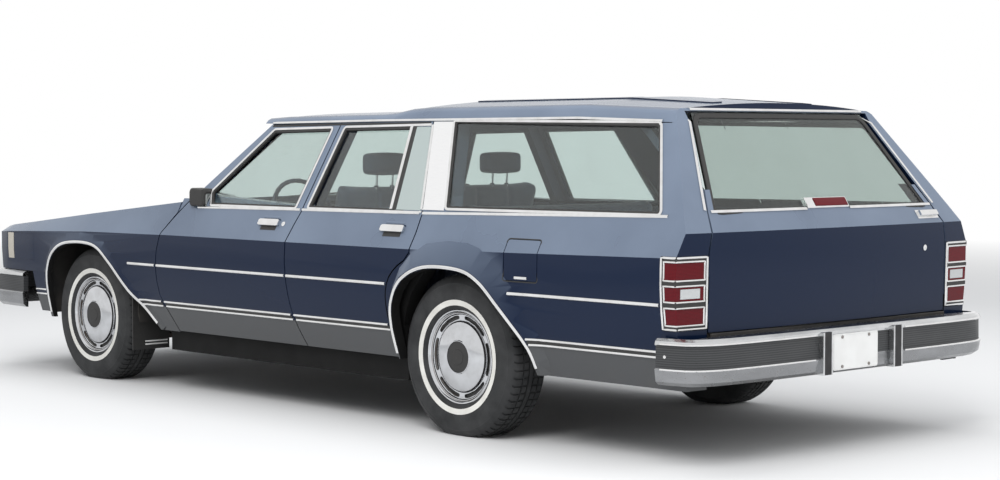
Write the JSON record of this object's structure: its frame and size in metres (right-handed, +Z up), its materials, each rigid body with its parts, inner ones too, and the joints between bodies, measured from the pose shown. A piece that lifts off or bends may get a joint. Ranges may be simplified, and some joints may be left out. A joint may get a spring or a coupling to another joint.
{
  "type": "station wagon",
  "caption": "Full-size station wagon of the 1980s with raised rear roof, four hinged doors, opening hood, side-hinged tailgate, turning wheels and linked steering.",
  "frame": {"origin": "on the ground at the middle of the overall length and width", "axes": "+X to the front of the car, +Y to its left (driver's) side, +Z up"},
  "size_m": [5.479, 2.012, 1.473],
  "materials": {
    "blue_paint": "worn dark blue metallic paint",
    "chassis_black": "dull black underbody",
    "bright_trim": "weathered bright trim",
    "clear_glass": "pale green tinted glass",
    "red_lens": "red lamp lens",
    "headlamp_lens": "clear lamp glass",
    "seat_cloth": "blue cloth",
    "dash_plastic": "dark blue plastic",
    "tyre": "tyre with a narrow white band",
    "wheel_metal": "bright wheel cover",
    "iron": "bare iron",
    "flap_rubber": "black rubber",
    "tank_steel": "dull steel"
  },
  "bodies": {
    "chassis": {"bumper_guards": "flap_rubber", "dashboard": "dash_plastic", "exhaust": "tank_steel", "fender_left": "blue_paint", "fender_right": "blue_paint", "firewall": "chassis_black", "fixed_glass": "clear_glass", "floor_pan": "chassis_black", "frame_members": "chassis_black", "frame_rails": "chassis_black", "front_bumper": "bright_trim", "front_liners": "chassis_black", "fuel_tank": "chassis_black", "grille": "bright_trim", "header_panel": "blue_paint", "headlamps": "headlamp_lens", "load_floor": "chassis_black", "mud_flaps": "flap_rubber", "powertrain": "iron", "quarter_panel_left": "blue_paint", "quarter_panel_right": "blue_paint", "rear_axle": "iron", "rear_bumper": "bright_trim", "roof": "blue_paint", "seats": "seat_cloth", "side_frame_left": "blue_paint", "side_frame_right": "blue_paint", "suspension": "iron", "tail_lamp_lenses": "red_lens", "tail_lamps": "bright_trim"},
    "hood": {"hood": "blue_paint"},
    "door_front_left": {"door_front_left": "blue_paint", "door_glass_front_left": "clear_glass", "mirror_left": "blue_paint"},
    "door_front_right": {"door_front_right": "blue_paint", "door_glass_front_right": "clear_glass", "mirror_right": "blue_paint"},
    "door_rear_left": {"door_rear_left": "blue_paint", "door_glass_rear_left": "clear_glass"},
    "door_rear_right": {"door_rear_right": "blue_paint", "door_glass_rear_right": "clear_glass"},
    "tailgate": {"tailgate": "blue_paint", "tailgate_glass": "clear_glass"},
    "knuckle_left": {"knuckle_left": "iron"},
    "knuckle_right": {"knuckle_right": "iron"},
    "wheel_front_left": {"tyre_front_left": "tyre", "rim_front_left": "wheel_metal"},
    "wheel_front_right": {"tyre_front_right": "tyre", "rim_front_right": "wheel_metal"},
    "wheel_rear_left": {"tyre_rear_left": "tyre", "rim_rear_left": "wheel_metal"},
    "wheel_rear_right": {"tyre_rear_right": "tyre", "rim_rear_right": "wheel_metal"},
    "steering_wheel": {"steering_wheel": "dash_plastic"}
  },
  "joints": [
    {"name": "hood_hinge", "type": "hinge", "parent": "chassis", "child": "hood", "pos_m": [0.95, 0, 0.984], "axis": [0, -1, 0], "range_deg": [0, 52]},
    {"name": "door_front_left_hinge", "type": "hinge", "parent": "chassis", "child": "door_front_left", "pos_m": [0.981, 0.974, 0.64], "axis": [0, 0, -1], "range_deg": [0, 65]},
    {"name": "door_rear_left_hinge", "type": "hinge", "parent": "chassis", "child": "door_rear_left", "pos_m": [-0.107, 0.976, 0.64], "axis": [0, 0, -1], "range_deg": [0, 65]},
    {"name": "door_front_right_hinge", "type": "hinge", "parent": "chassis", "child": "door_front_right", "pos_m": [0.981, -0.974, 0.64], "axis": [0, 0, 1], "range_deg": [0, 65]},
    {"name": "door_rear_right_hinge", "type": "hinge", "parent": "chassis", "child": "door_rear_right", "pos_m": [-0.107, -0.976, 0.64], "axis": [0, 0, 1], "range_deg": [0, 65]},
    {"name": "tailgate_hinge", "type": "hinge", "parent": "chassis", "child": "tailgate", "pos_m": [-2.592, 0.787, 0.8], "axis": [0, 0, -1], "range_deg": [0, 90]},
    {"name": "steer_left", "type": "hinge", "parent": "chassis", "child": "knuckle_left", "pos_m": [1.682, 0.7, 0.343], "axis": [0, 0, 1], "range_deg": [-33, 33]},
    {"name": "steer_right", "type": "hinge", "parent": "chassis", "child": "knuckle_right", "pos_m": [1.682, -0.7, 0.343], "axis": [0, 0, 1], "range_deg": [-33, 33]},
    {"name": "spin_front_left", "type": "hinge", "parent": "knuckle_left", "child": "wheel_front_left", "pos_m": [1.682, 0.79, 0.343], "axis": [0, 1, 0], "continuous": true},
    {"name": "spin_rear_left", "type": "hinge", "parent": "chassis", "child": "wheel_rear_left", "pos_m": [-1.264, 0.814, 0.343], "axis": [0, 1, 0], "continuous": true},
    {"name": "spin_front_right", "type": "hinge", "parent": "knuckle_right", "child": "wheel_front_right", "pos_m": [1.682, -0.79, 0.343], "axis": [0, 1, 0], "continuous": true},
    {"name": "spin_rear_right", "type": "hinge", "parent": "chassis", "child": "wheel_rear_right", "pos_m": [-1.264, -0.814, 0.343], "axis": [0, 1, 0], "continuous": true},
    {"name": "steering_wheel_turn", "type": "hinge", "parent": "chassis", "child": "steering_wheel", "pos_m": [0.50132, 0.39, 0.89294], "axis": [-0.9203, 0, 0.3911], "range_deg": [-500, 500]}
  ],
  "couplings": [
    {"joint": "steer_right", "follows": "steer_left", "ratio": 1},
    {"joint": "steering_wheel_turn", "follows": "steer_left", "ratio": 15}
  ]
}
